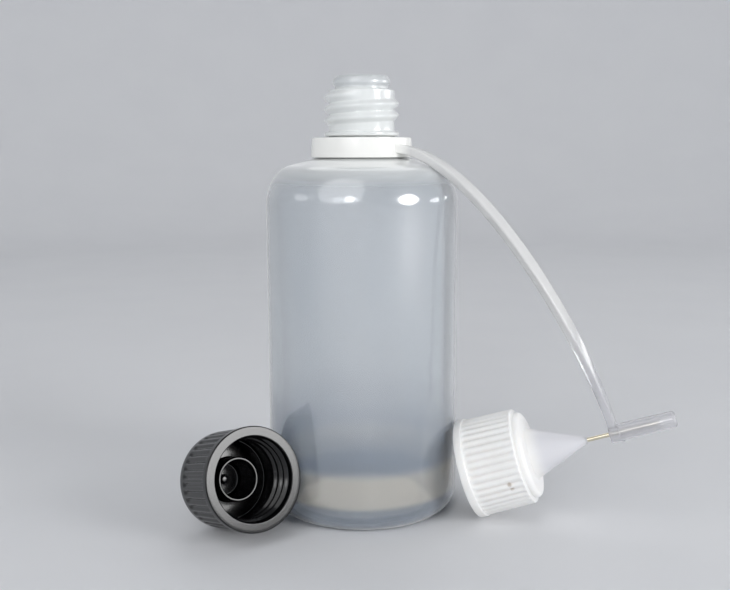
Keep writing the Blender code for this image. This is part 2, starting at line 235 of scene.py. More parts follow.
def settle(piece, material, body, node):
    """Give a piece its finish and its body, and hide the measured node it stands for."""
    piece.data.materials.clear()
    piece.data.materials.append(material)
    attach(piece, body)
    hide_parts(node)
    piece.data.calc_loop_triangles()
    print(piece.name, len(piece.data.loop_triangles), "triangles")


# %% [markdown]
# A helical thread looks hard to join to a neck. It is easier as a relief: at any
# angle the ridge's middle lies at a height that climbs one pitch in each turn,
# so the distance from that middle says how far the wall is pushed out. A
# cosine hill gives the rounded crest of a blown thread, and the ridge fades in
# and out over part of a turn as it does where the two mould halves meet.

# %% Describe a thread and a ribbed grip
def thread_relief(first, pitch, turns, height, half_width, fade):
    """A relief that raises a right-handed ridge from a first height."""
    def relief(angle, radius, level):
        best = 0.0
        for lap in range(ceil(turns)):
            turn = angle / (2 * pi) + lap
            away = abs(level - first - pitch * turn) / half_width
            if away < 1 and turn < turns:
                end = min(1.0, turn / fade, (turns - turn) / fade)
                best = max(best, sin(end * pi / 2) * (0.5 + 0.5 * cos(pi * away)) ** 0.75)
        return height * best
    return relief


def smooth(value):
    """A soft step from 0 to 1."""
    value = max(0.0, min(1.0, value))
    return value * value * (3 - 2 * value)


# %% [markdown]
# The finishes come next. Each is a Principled material named for its real
# plastic or metal and for how its surface was made. One helper adds a node
# with its settings and links, and one turns the sRGB hex colours, as read
# from a screen, into the linear light that the renderer works with.

# %% Helpers for materials
def linear(hexcode):
    """Linear RGBA from an sRGB hex colour."""
    channels = [int(hexcode[i:i + 2], 16) / 255 for i in (1, 3, 5)]
    return (*[c / 12.92 if c <= 0.04045 else ((c + 0.055) / 1.055) ** 2.4 for c in channels], 1.0)


def add(tree, kind, settings=None, links=None, **options):
    """Add one node with its options, socket settings and incoming links."""
    node = tree.nodes.new(kind)
    for option, value in options.items():
        setattr(node, option, value)
    for socket, value in (settings or {}).items():
        node.inputs[socket].default_value = value
    for socket, source in (links or {}).items():
        tree.links.new(source, node.inputs[socket])
    return node


def skin(name, colours, cloud, grain, gloss, lift, **settings):
    """A Principled material with a clouded colour and a grain in its gloss and relief."""
    made = bpy.data.materials.new(name)
    made.use_nodes = True
    tree = made.node_tree
    shader = tree.nodes["Principled BSDF"]
    for socket, value in settings.items():
        shader.inputs[socket.replace("_", " ")].default_value = value
    place = add(tree, "ShaderNodeTexCoord").outputs["Object"]
    clouds = add(tree, "ShaderNodeTexNoise", {"Scale": 1 / cloud, "Detail": 3.0}, {"Vector": place})
    tint = add(tree, "ShaderNodeMix", {6: linear(colours[0]), 7: linear(colours[1])},
               {0: clouds.outputs["Fac"]}, data_type="RGBA")
    grains = add(tree, "ShaderNodeTexNoise", {"Scale": 1 / grain, "Detail": 2.0}, {"Vector": place})
    shine = add(tree, "ShaderNodeMapRange", {"To Min": gloss[0], "To Max": gloss[1]},
                {"Value": grains.outputs["Fac"]})
    bump = add(tree, "ShaderNodeBump", {"Strength": 0.5, "Distance": lift},
               {"Height": grains.outputs["Fac"]})
    tree.links.new(tint.outputs[2], shader.inputs["Base Color"])
    tree.links.new(shine.outputs[0], shader.inputs["Roughness"])
    tree.links.new(bump.outputs[0], shader.inputs["Normal"])
    print(name, "clouds", round(cloud / mm, 1), "mm and grain", round(grain / mm, 2), "mm")
    return made, tree, shader, place, tint, grains


def tinge(tree, shader, colour, amount):
    """Mix a colour over what a material shows, by an amount from 0 to 1."""
    before = shader.inputs["Base Color"].links[0].from_socket
    mixed = add(tree, "ShaderNodeMix", {7: linear(colour)}, {0: amount, 6: before}, data_type="RGBA")
    tree.links.new(mixed.outputs[2], shader.inputs["Base Color"])


def thicken(tree, shader, thick, solid, clear):
    """Whiten a clear plastic and close it to light where its wall is thick."""
    tinge(tree, shader, solid, thick)
    closing = add(tree, "ShaderNodeMapRange", {"To Min": clear[0], "To Max": clear[1]}, {"Value": thick})
    tree.links.new(closing.outputs[0], shader.inputs["Transmission Weight"])


def from_bottle_axis(tree, place):
    """Distance of a point from the bottle's upright axis."""
    level = add(tree, "ShaderNodeVectorMath", {1: (1.0, 1.0, 0.0)}, {0: place}, operation="MULTIPLY")
    return add(tree, "ShaderNodeVectorMath", {1: bottle_place.translation}, {0: level.outputs[0]},
               operation="DISTANCE").outputs["Value"]


# %% [markdown]
# The body is natural LDPE, extrusion blown: a hot tube is closed in a cold
# mould and blown against it. The plastic is milky, so it lets light through
# but scatters part of it, and the wall shows soft vertical draw lines from the
# die, a faint orange peel about a millimetre across, and cloudy patches. A
# clear coat stands for the smooth skin, which gives sharp highlights over the
# blurred light from inside. IOR of polyethylene is 1.51.

# %% Blown LDPE
peel_size = 1.1 * mm
draw_line_width = 1.4 * mm
draw_line_stretch = 0.03
draw_line_depth = 0.02 * mm
cloud_stretch = 0.35
ldpe, tree, shader, place, tint, _ = skin(
    "ldpe_natural_blown", ("#eaf0f5", "#fafcfe"), 9 * mm, peel_size, (0.12, 0.2), 0.02 * mm,
    IOR=1.51, Coat_Weight=1.0, Coat_Roughness=0.08, Coat_IOR=1.51,
    Sheen_Weight=0.9, Sheen_Roughness=0.3)
upright = add(tree, "ShaderNodeMapping", {"Scale": (1.0, 1.0, cloud_stretch)}, {"Vector": place})
tree.links.new(upright.outputs[0], tint.inputs[0].links[0].from_node.inputs["Vector"])
drawn = add(tree, "ShaderNodeMapping", {"Scale": (1.0, 1.0, draw_line_stretch)}, {"Vector": place})
lines = add(tree, "ShaderNodeTexNoise", {"Scale": 1 / draw_line_width, "Detail": 2.0},
            {"Vector": drawn.outputs[0]})
bump = add(tree, "ShaderNodeBump", {"Strength": 0.5, "Distance": draw_line_depth},
           {"Height": lines.outputs["Fac"], "Normal": shader.inputs["Normal"].links[0].from_socket})
tree.links.new(bump.outputs[0], shader.inputs["Normal"])
tree.links.new(bump.outputs[0], shader.inputs["Coat Normal"])
print("LDPE draw lines", round(draw_line_width / mm, 2), "mm wide")

# %% [markdown]
# A blown wall isn't equally thick everywhere. It is thick, and therefore
# whiter and less clear, at the neck and at the pinched base. Low on the side
# and round the heel the wall is greyed as painted shade, for the lower body
# gets less light. The warm tint of the wall between those two grey belts is
# painted light, for the light that the base throws into it. Each pair of
# heights says where a change starts and where it is complete.

# %% Thick places of the bottle, with painted shade and painted light
neck_whitens = (62.5 * mm, 69 * mm)
lip_clears = (81 * mm, 82.4 * mm)
lip_white = 0.5
base_whitens = (14 * mm, 12.5 * mm)
base_wall_top = (5 * mm, 3 * mm)
base_colour = "#fffaf0"
thick_colour = "#f3f6f5"
clearness = (0.8, 0.15)
# The next five numbers set the painted shade low on the side and round the heel, and where it gives way to
# painted light above the base.
side_shade_heights = (26 * mm, 15 * mm)
shade_to_glow_heights = (12.5 * mm, 10 * mm)
heel_shade_heights = (5.4 * mm, 4.2 * mm)
low_shade_colour = "#c6cfda"
base_glow = 0.8
height = add(tree, "ShaderNodeSeparateXYZ", None, {0: place}).outputs[2]
at_neck = add(tree, "ShaderNodeMapRange", {"From Min": neck_whitens[0], "From Max": neck_whitens[1]},
              {"Value": height}, interpolation_type="SMOOTHSTEP")
to_lip = add(tree, "ShaderNodeMapRange", {"From Min": lip_clears[0], "From Max": lip_clears[1],
                                          "To Min": 1.0, "To Max": lip_white},
             {"Value": height}, interpolation_type="SMOOTHSTEP")
below_lip = add(tree, "ShaderNodeMath", None, {0: at_neck.outputs[0], 1: to_lip.outputs[0]},
                operation="MULTIPLY")
inside_ring = add(tree, "ShaderNodeMapRange", {"From Min": base_whitens[0], "From Max": base_whitens[1]},
                  {"Value": from_bottle_axis(tree, place)}, interpolation_type="SMOOTHSTEP")
low_down = add(tree, "ShaderNodeMapRange", {"From Min": base_wall_top[0], "From Max": base_wall_top[1]},
               {"Value": height}, interpolation_type="SMOOTHSTEP")
at_base = add(tree, "ShaderNodeMath", None, {0: inside_ring.outputs[0], 1: low_down.outputs[0]},
              operation="MULTIPLY")
thick = add(tree, "ShaderNodeMath", None, {0: below_lip.outputs[0], 1: at_base.outputs[0]},
            operation="MAXIMUM")
# Painted shade: grey belts low on the side and round the heel.
low = add(tree, "ShaderNodeMapRange", {"From Min": side_shade_heights[0], "From Max": side_shade_heights[1]},
          {"Value": height}, interpolation_type="SMOOTHSTEP")
over_disc = add(tree, "ShaderNodeMapRange", {"From Min": shade_to_glow_heights[1], "From Max": shade_to_glow_heights[0]},
                {"Value": height}, interpolation_type="SMOOTHSTEP")
heel_shade = add(tree, "ShaderNodeMapRange", {"From Min": heel_shade_heights[0], "From Max": heel_shade_heights[1]},
              {"Value": height}, interpolation_type="SMOOTHSTEP")
side_shade = add(tree, "ShaderNodeMath", None, {0: low.outputs[0], 1: over_disc.outputs[0]}, operation="MULTIPLY")
low_shade = add(tree, "ShaderNodeMath", None, {0: side_shade.outputs[0], 1: heel_shade.outputs[0]}, operation="MAXIMUM")
# Painted light: a warm glow on the wall just above the base.
glow = add(tree, "ShaderNodeMapRange", {"From Min": shade_to_glow_heights[0], "From Max": shade_to_glow_heights[1],
                                        "To Max": base_glow},
           {"Value": height}, interpolation_type="SMOOTHSTEP")
tinge(tree, shader, base_colour, glow.outputs[0])
tinge(tree, shader, low_shade_colour, low_shade.outputs[0])
thicken(tree, shader, thick.outputs[0], thick_colour, clearness)
tinge(tree, shader, base_colour, at_base.outputs[0])
print("LDPE whitens from", round(neck_whitens[0] / mm, 1), "mm up")

# %% [markdown]
# The tether is injection moulded from natural polyethylene as well. Its thick
# collar looks white, the strap is milky and the sleeve at its end is clear
# enough to show the needle. That is one plastic at three depths, so the finish
# follows the distance from the bottle's axis: white to the root of the strap,
# half milky along the strap, clear from the sleeve on.

# %% Moulded polyethylene
collar_whitens = (14.6 * mm, 9.9 * mm)
strap_clears = (38 * mm, 46 * mm)
strap_white = 0.5
collar_colour = "#f6f6f2"
clearness = (0.7, 0.0)
pe, tree, shader, place, _, _ = skin(
    "pe_natural_moulded", ("#e4e4e8", "#efeff1"), 5 * mm, 1.2 * mm, (0.08, 0.16), 0.012 * mm,
    IOR=1.51)
from_axis = from_bottle_axis(tree, place)
collar = add(tree, "ShaderNodeMapRange", {"From Min": collar_whitens[0], "From Max": collar_whitens[1]},
             {"Value": from_axis}, interpolation_type="SMOOTHSTEP")
band = add(tree, "ShaderNodeMapRange", {"From Min": strap_clears[0], "From Max": strap_clears[1],
                                        "To Min": strap_white, "To Max": 0.0},
           {"Value": from_axis}, interpolation_type="SMOOTHSTEP")
thick = add(tree, "ShaderNodeMath", None, {0: collar.outputs[0], 1: band.outputs[0]}, operation="MAXIMUM")
thicken(tree, shader, thick.outputs[0], collar_colour, clearness)

# %% [markdown]
# The nozzle cap is white polypropylene, stiffer and more opaque. It came out of
# a fine matt mould. Light sinks a millimetre or so into it before it comes out,
# which softens the shadows between the ribs.

# %% Moulded white polypropylene
white_pp = skin(
    "pp_white_moulded", ("#f0efec", "#f9f8f6"), 6 * mm, 0.35 * mm, (0.3, 0.42), 0.01 * mm,
    IOR=1.49, Subsurface_Weight=0.8, Subsurface_Scale=1.5 * mm, Subsurface_Radius=(1.0, 0.95, 0.9))[0]

# %% [markdown]
# Stainless needle tube is drawn through a die, which leaves lines along it. A
# metal's colour is its reflection: a slightly warm grey. The noise is squeezed
# along the needle's own axis, so that it runs lengthways as the lines do.

# %% Drawn stainless steel
drawing_stretch = 0.02
steel, tree, _, place, _, grain = skin(
    "stainless_drawn", ("#cfc6ae", "#e6dfcc"), 2 * mm, 0.12 * mm, (0.14, 0.25), 0.003 * mm, Metallic=1.0)
unturn = needle_axis.to_track_quat("Z", "X").inverted().to_euler()
lengthways = add(tree, "ShaderNodeMapping", {"Rotation": unturn}, {"Vector": place})
drawn = add(tree, "ShaderNodeMapping", {"Scale": (1.0, 1.0, drawing_stretch)},
            {"Vector": lengthways.outputs[0]})
tree.links.new(drawn.outputs[0], grain.inputs["Vector"])

# %% [markdown]
# Black polypropylene shows mostly its gloss. Its mould had a fine spark eroded
# skin, about a quarter of a millimetre from grain to grain, which spreads
# the light into the grey sheen that the rim has in the photograph.

# %% Moulded black polypropylene
black_pp = skin(
    "pp_black_moulded", ("#040405", "#09090b"), 5 * mm, 0.25 * mm, (0.12, 0.2), 0.014 * mm,
    IOR=1.49, Specular_IOR_Level=0.5)[0]

# %% [markdown]
# The bottle is one closed wall, outside and inside, open at the mouth. Light
# has to cross both faces of the wall, so both are modelled. The outside
# follows the measured form: a standing ring round a pushed-up base, a round
# heel, a straight side, and a shoulder of two arcs that ends in a shallow
# cone. The inside wall of a blown bottle is never even, and the slow waves
# given to it here bend the light into soft vertical streaks.

# %% Outline of the bottle's wall
bottle_low, bottle_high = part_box("bottle_body")
body_radius = (bottle_high.x - bottle_low.x) / 2
mouth_height = bottle_high.z
body_height = 60.0 * mm
wall = 0.95 * mm
heel_radius = 3.8 * mm
standing_ring_width = 1.8 * mm
push_up = 1.3 * mm
push_up_slope = radians(50)
sweep_radius = 9.0 * mm
sweep_angle = radians(38)
corner_radius = 5.0 * mm
crown_slope = radians(15.5)
sweep_centre = Vector((body_radius - sweep_radius, body_height))
corner_centre = sweep_centre + Vector((cos(sweep_angle), sin(sweep_angle))) * (sweep_radius - corner_radius)


def crown_height(radius, inset=0.0):
    """Height of the conical crown at a radius, on the skin or inside the wall."""
    edge = corner_centre + Vector((sin(crown_slope), cos(crown_slope))) * (corner_radius - inset)
    return edge.y + (edge.x - radius) * tan(crown_slope)


def body_side(inset):
    """Standing base, heel, side and shoulder, on the skin or inside the wall."""
    ring_outer = body_radius - heel_radius
    ring_inner = ring_outer - standing_ring_width
    shift = inset * tan(push_up_slope / 2)
    rise = push_up / tan(push_up_slope)
    points = rounded([
        (0.0, push_up + inset, 0),
        (ring_inner - rise - shift, push_up + inset, 1.2 * mm),
        (ring_inner - shift, inset, 0.6 * mm),
        (ring_outer, inset, 0),
    ])
    points += arc((ring_outer, heel_radius), heel_radius - inset, -pi / 2, 0, 14)[1:]
    points += arc(sweep_centre, sweep_radius - inset, 0, sweep_angle, 14)
    points += arc(corner_centre, corner_radius - inset, sweep_angle, pi / 2 - crown_slope, 12)[1:]
    return points


print("bottle", round(2 * body_radius / mm, 1), "mm across and", round(mouth_height / mm, 1), "mm high")

# %% Outline of the neck
neck_radius = 6.26 * mm
neck_bore_radius = 4.2 * mm
neck_root_fillet = 0.7 * mm
collar_height = 3.75 * mm
collar_radius = 9.75 * mm
collar_clearance = 0.3 * mm
flange_radius = 7.1 * mm
flange_thickness = 0.75 * mm
neck_length = 7.85 * mm
lip_height = 2.6 * mm
lip_radius = 5.47 * mm
lip_groove_radius = 5.1 * mm
lip_face_width = 0.6 * mm
thread_margin = 0.8 * mm
collar_bottom = crown_height(collar_radius) + collar_clearance / cos(crown_slope)
collar_top = collar_bottom + collar_height
flange_bottom = collar_top + collar_clearance
flange_top = flange_bottom + flange_thickness
lip_base = flange_top + neck_length
neck_foot = rounded([
    (neck_radius + 2 * neck_root_fillet, crown_height(neck_radius + 2 * neck_root_fillet), 0),
    (neck_radius, crown_height(neck_radius), neck_root_fillet),
    (neck_radius, flange_bottom, 0.15 * mm),
    (flange_radius, flange_bottom, 0.2 * mm),
    (flange_radius, flange_top, 0.25 * mm),
    (neck_radius, flange_top, 0.3 * mm),
    (neck_radius, flange_top + thread_margin, 0),
])
thread_ends = [Vector((neck_radius, flange_top + thread_margin)),
               Vector((neck_radius, lip_base - 0.35 * mm))]
thread_zone = spaced(thread_ends, 0.1 * mm)[1:]
lip_outline = rounded([
    (neck_radius, lip_base - 0.34 * mm, 0),
    (neck_radius, lip_base, 0.3 * mm),
    (lip_groove_radius, lip_base + 0.1 * mm, 0.25 * mm),
    (lip_groove_radius, lip_base + 0.25 * lip_height, 0.3 * mm),
    (lip_radius, lip_base + 0.45 * lip_height, 0.3 * mm),
    (lip_radius, lip_base + 0.62 * lip_height, 0.3 * mm),
    (lip_radius - 0.25 * mm, lip_base + 0.84 * lip_height, 0.3 * mm),
    (neck_bore_radius + lip_face_width, mouth_height, 0.18 * mm),
    (neck_bore_radius, mouth_height, 0.2 * mm),
    (neck_bore_radius, mouth_height - 2 * mm, 0),
])
print("neck from", round(collar_top / mm, 2), "to", round(mouth_height / mm, 2), "mm")

# %% Reliefs of the bottle
seam_height = 0.05 * mm
seam_half_width = 0.16 * mm
seam_azimuth = radians(172)
pinch_height = 0.35 * mm
pinch_half_width = 0.5 * mm
pinch_length = 17 * mm
sway = 0.035 * mm
wall_wave = 0.1 * mm


def seam(angle, radius, height):
    """The parting line, where the two mould halves met, faint where the bottle stands on it."""
    across = radius * sin(angle - seam_azimuth) / seam_half_width
    return seam_height * exp(-across * across) * smooth(height / mm)


def pinch(angle, radius, height):
    """The welded bar under the base, where the mould pinched the hot tube shut."""
    across = radius * sin(angle - seam_azimuth) / pinch_half_width
    inside = smooth((pinch_length / 2 - radius) / mm) * smooth((push_up + 0.2 * mm - height) / (0.1 * mm))
    return pinch_height * exp(-across * across) * inside


def skin_relief(angle, radius, height):
    """Parting line, pinch and the slight sway of a wall that cooled unevenly."""
    if radius < body_radius / 2:
        return seam(angle, radius, height) + pinch(angle, radius, height)
    slow = sin(3 * angle + 40 * height / body_height / 10) * sin(pi * height / body_height)
    quick = sin(7 * angle + 9 * height / body_height) * sin(5 * height / body_height)
    swayed = sway * (0.7 * slow + 0.3 * quick) * smooth(radius / body_radius * 2 - 1)
    return seam(angle, radius, height) + swayed


def inner_relief(angle, radius, height):
    """Slow waves in the wall's thickness, mostly upright."""
    level = height / body_height
    wave = sin(5 * angle + 1.3 + 0.8 * level) + 0.7 * sin(9 * angle - 2.0 * level)
    wave += 0.5 * sin(14 * angle + 1.1 * level)
    return wall_wave * wave * smooth(radius / body_radius * 2 - 1)


thread_pitch = 2.13 * mm
neck_thread = thread_relief(first=flange_top + 1.05 * mm, pitch=thread_pitch, turns=2.75, height=0.84 * mm,
                            half_width=1.04 * mm, fade=0.18)

# %% Build the bottle
body_count = 180
seam_steps = (-0.024, -0.016, -0.008, 0.0, 0.008, 0.016, 0.024)
body_angles = sorted(
    [a for a in even(body_count) if abs(sin(a - seam_azimuth)) > 0.03]
    + [(seam_azimuth + side + offset) % (2 * pi) for side in (0, pi) for offset in seam_steps])
outer = spaced(body_side(0.0), 1.6 * mm)
crown = spaced([outer[-1], neck_foot[0]], 0.8 * mm)[1:-1]
inner = list(reversed(spaced(body_side(wall), 1.6 * mm)))
bore_foot = Vector((neck_bore_radius, crown_height(neck_bore_radius, wall)))
bore = spaced([lip_outline[-1], bore_foot], 1.5 * mm)[1:]
bore_turn = rounded([(neck_bore_radius, bore[-1].y + 1.5 * mm, 0),
                     (neck_bore_radius, bore[-1].y, 0.8 * mm),
                     (inner[0].x, inner[0].y, 0)])[1:-1]
bm = bmesh.new()
profile = rows(outer + crown, body_angles, skin_relief)
profile += rows(neck_foot, body_angles, seam)
profile += rows(thread_zone, body_angles, neck_thread)
profile += rows(lip_outline + bore[:-1] + bore_turn, body_angles)
profile += rows(inner, body_angles, inner_relief)
turned(bm, profile)
bottle = make_piece("bottle_shell", bm, bottle_place)
settle(bottle, ldpe, "root", "bottle_body")

# %% [markdown]
# The tether is one moulding with three jobs. The collar is a shallow cup that
# snaps under the neck's flange and can turn there. The strap is a flat band
# that curls over the shoulder. Its far end wraps the mouth of a blind
# sleeve, which keeps the needle clean. The strap follows one smooth curve
# between two handles and twists as it falls, so that its wide side faces out
# at the collar and sideways at the sleeve.

# %% Sizes along the nozzle's axis
rim_radius = 9.5 * mm
skirt_length = 11.2 * mm
dome_height = 1.3 * mm
cone_length = 10.3 * mm
nib_length = 0.5 * mm
needle_bare = 4.2 * mm
needle_out = 13.3 * mm
needle_in = 4.9 * mm
nozzle_tip = skirt_length + dome_height + cone_length + nib_length
sleeve_start = nozzle_tip + needle_bare
nozzle_place = standing(needle_axis, Vector(joints["needle_spin"]["pos_m"]) - needle_axis * sleeve_start)
print("nozzle rim centre in mm", [round(c / mm, 2) for c in nozzle_place.translation])

# %% The collar
collar_draft = 0.25 * mm
collar_skirt = 1.25 * mm
collar_plate = 1.2 * mm
collar_hole = neck_radius + collar_clearance
skirt_inner = collar_radius - collar_skirt
inner_foot = crown_height(skirt_inner) + collar_clearance / cos(crown_slope)
collar_outline = rounded([
    (skirt_inner, collar_top - collar_plate - 0.6 * mm, 0),
    (skirt_inner, inner_foot, 0.12 * mm),
    (collar_radius, collar_bottom, 0.14 * mm),
    (collar_radius - collar_draft, collar_top, 0.18 * mm),
    (collar_hole, collar_top, 0.15 * mm),
    (collar_hole, collar_top - collar_plate, 0.1 * mm),
    (skirt_inner, collar_top - collar_plate, 0.25 * mm),
    (skirt_inner, collar_top - collar_plate - 0.5 * mm, 0),
])
bm = bmesh.new()
turned(bm, rows(collar_outline, even(160)), closed=True)
tether = make_piece("tether_moulding", bm, bottle_place)

# %% The strap
strap_azimuth = radians(-46.9)
strap_width = 2.5 * mm
strap_thickness = 1.6 * mm
strap_edge = 0.35 * mm
strap_root_drop = radians(0.6)
strap_root_reach = 14.0 * mm
strap_end_reach = 20.35 * mm
strap_twist = radians(38)
strap_rise = 0.86 * mm
eye_thickness = 1.9 * mm
strap_stations = 140
root_slims = 0.35
root_blend = 0.1


def band_outline():
    """The strap's section: a flat band with rounded edges."""
    half = Vector((strap_width / 2 - strap_edge, strap_thickness / 2 - strap_edge))
    outline = []
    for quarter, (x, y) in enumerate(((1, 1), (-1, 1), (-1, -1), (1, -1))):
        for k in range(5):
            a = pi / 2 * (quarter + k / 4)
            outline.append((x * half.x + strap_edge * cos(a), y * half.y + strap_edge * sin(a)))
    return outline


def strap_mesh():
    """The band swept along its curve, as a closed solid."""
    root_radius = collar_radius - collar_skirt / 2
    start = bottle_place @ Vector((root_radius * cos(strap_azimuth), root_radius * sin(strap_azimuth),
                                   collar_bottom + strap_thickness / 2 + strap_rise))
    end = nozzle_place @ Vector((0.0, 0.0, sleeve_start + eye_thickness / 2))
    across = Vector((end.x - start.x, end.y - start.y, 0.0)).normalized()
    leaving = across * cos(strap_root_drop) - Vector((0.0, 0.0, sin(strap_root_drop)))
    side = Vector((needle_axis.x, needle_axis.y, 0.0)).normalized()
    arriving = side * needle_axis.z - Vector((0.0, 0.0, 1.0)) * needle_axis.xy.length
    hold = [start, start + leaving * strap_root_reach, end - arriving * strap_end_reach, end]
    bm = bmesh.new()
    sections = []
    for i in range(strap_stations + 1):
        u = i / strap_stations
        v = 1 - u
        spot = hold[0] * v ** 3 + hold[1] * 3 * u * v * v + hold[2] * 3 * u * u * v + hold[3] * u ** 3
        along = (hold[1] - hold[0]) * v * v + (hold[2] - hold[1]) * 2 * u * v + (hold[3] - hold[2]) * u * u
        along.normalize()
        level = Vector((along.y, -along.x, 0.0)).normalized()
        face = level.cross(along)
        twist = strap_twist * sin(pi * u)
        wide = level * cos(twist) - face * sin(twist)
        thick = face * cos(twist) + level * sin(twist)
        slim = 1 - root_slims * (1 - smooth(u / root_blend))
        sections.append([bm.verts.new(spot + wide * w * slim + thick * t) for w, t in band_outline()])
    for near, far in zip(sections, sections[1:]):
        bridge(bm, near, far)
    bm.faces.new(sections[0])
    bm.faces.new(reversed(sections[-1]))
    return bm


strap = make_piece("strap_form", strap_mesh(), Matrix.Identity(4))
print("strap section", round(strap_width / mm, 1), "x", round(strap_thickness / mm, 1), "mm")

# %% The sleeve and its bore
sleeve_radius = 1.62 * mm
sleeve_tip_radius = 1.54 * mm
sleeve_length = 12.25 * mm
sleeve_bore_radius = 0.75 * mm
sleeve_mouth_radius = 1.0 * mm
eye_radius = 1.74 * mm
sleeve_end = sleeve_start + sleeve_length
bore_end = nozzle_tip + needle_out + 0.3 * mm
mouth_flare = sleeve_mouth_radius - sleeve_bore_radius
sleeve_outline = rounded([
    (0.0, sleeve_start, 0),
    (eye_radius, sleeve_start, 0.3 * mm),
    (eye_radius, sleeve_start + eye_thickness, 0.15 * mm),
    (sleeve_radius, sleeve_start + eye_thickness + 0.1 * mm, 0.1 * mm),
    (sleeve_tip_radius, sleeve_end, 0.7 * mm),
    (0.0, sleeve_end, 0),
])
bore_outline = rounded([
    (0.0, sleeve_start - mouth_flare, 0),
    (sleeve_mouth_radius + mouth_flare, sleeve_start - mouth_flare, 0),
    (sleeve_bore_radius, sleeve_start + mouth_flare, 0.3 * mm),
    (sleeve_bore_radius, bore_end, 0.15 * mm),
    (0.0, bore_end + sleeve_bore_radius / 2, 0),
])
nub_radius = 0.32 * mm
nub_outline = arc((0.0, 0.0), nub_radius, -pi / 2, pi / 2, 10)
below = (needle_axis * needle_axis.z - Vector((0.0, 0.0, 1.0))).normalized()
nub_place = Matrix.Translation(nozzle_place @ Vector((0.0, 0.0, sleeve_start + eye_thickness + 0.25 * mm))
                               + below * sleeve_radius)
tools = []
for name, outline, matrix in (
    ("sleeve_form", sleeve_outline, nozzle_place),
    ("nub_form", nub_outline, nub_place),
    ("bore_form", bore_outline, nozzle_place),
):
    bm = bmesh.new()
    turned(bm, rows(outline, even(64)))
    tools.append(make_piece(name, bm, matrix))


def combine(target, other, operation):
    """Join or cut with a helper form, then delete the form."""
    step = target.modifiers.new(other.name, "BOOLEAN")
    step.operation = operation
    step.solver = "EXACT"
    step.object = other
    bpy.context.view_layer.update()
    shape = bpy.data.meshes.new_from_object(target.evaluated_get(bpy.context.evaluated_depsgraph_get()))
    target.modifiers.clear()
    target.data = shape
    bpy.data.objects.remove(other, do_unlink=True)


sleeve_form, nub_form, bore_form = tools
for form in (strap, sleeve_form, nub_form):
    combine(tether, form, "UNION")
combine(tether, bore_form, "DIFFERENCE")
tether.data.shade_smooth()
tether.data.set_sharp_from_angle(angle=radians(40))
settle(tether, pe, "tether", "tether")

# %% [markdown]
# Both caps share one closure: a skirt with forty grip ribs over a plain rim
# band, a threaded bore, and a thin plug that seals inside the neck. The ribs
# are grooves of soft section that run out before each end of the grip.

# %% Skirt and bore of the caps
rim_band = 1.5 * mm
skirt_taper = 0.45 * mm
rib_count = 40
rib_depth = 0.34 * mm
rib_run_out = 0.55 * mm
grip_step = 0.14 * mm
cap_wall = 1.52 * mm
cap_bore_depth = 10.9 * mm
plug_reach = 4.4 * mm
plug_wall = 0.55 * mm
end_radius = rim_radius - skirt_taper
band_radius = rim_radius - skirt_taper * rim_band / skirt_length
bore_radius = end_radius - cap_wall + 0.15 * mm
plug_radius = neck_bore_radius - 0.15 * mm
rib_angles = even(12 * rib_count)
bore_angles = even(180)


def ribs(angle, radius, depth):
    """Grooves between the grip ribs, fading at both ends of the grip."""
    start = smooth((depth - rim_band) / rib_run_out)
    end = smooth((skirt_length - 0.15 * mm - depth) / rib_run_out)
    return -rib_depth * start * end * (0.5 - 0.5 * cos(rib_count * angle)) ** 1.3


def skirt_rows(end_round):
    """Rim, band, ribbed grip and the rounded end of the skirt."""
    outline = rounded([
        (bore_radius + 0.25 * mm, 0.0, 0),
        (rim_radius, 0.0, 0.22 * mm),
        (rim_radius - 0.01 * mm, rim_band - 0.1 * mm, 0.05 * mm),
        (band_radius - grip_step, rim_band + 0.1 * mm, 0.1 * mm),
        *end_round,
    ])
    return rows(spaced(outline, 0.55 * mm), rib_angles, ribs)


cap_thread = thread_relief(first=1.5 * mm, pitch=thread_pitch, turns=3.0, height=0.75 * mm,
                           half_width=0.85 * mm, fade=0.15)


def bore_rows(inside):
    """From inside the plug, round its tip, and out along the threaded bore."""
    tip = cap_bore_depth - plug_reach
    outline = rounded([
        *inside,
        (plug_radius - plug_wall, tip, 0.2 * mm),
        (plug_radius, tip, 0.2 * mm),
        (plug_radius, cap_bore_depth, 0.25 * mm),
        (bore_radius, cap_bore_depth, 0.4 * mm),
        (bore_radius, cap_bore_depth - 1.0 * mm, 0),
    ])
    thread_ends = [Vector((bore_radius, cap_bore_depth - 1.0 * mm)), Vector((bore_radius, 0.3 * mm))]
    threaded = spaced(thread_ends, 0.12 * mm)
    mouth = rounded([(bore_radius, 0.3 * mm, 0), (bore_radius, 0.15 * mm, 0.1 * mm),
                     (bore_radius + 0.15 * mm, 0.0, 0.05 * mm), (bore_radius + 0.24 * mm, 0.0, 0)])
    return rows(spaced(outline, 0.8 * mm), bore_angles) + rows(threaded[1:], bore_angles, cap_thread) \
        + rows(mouth[1:], bore_angles)


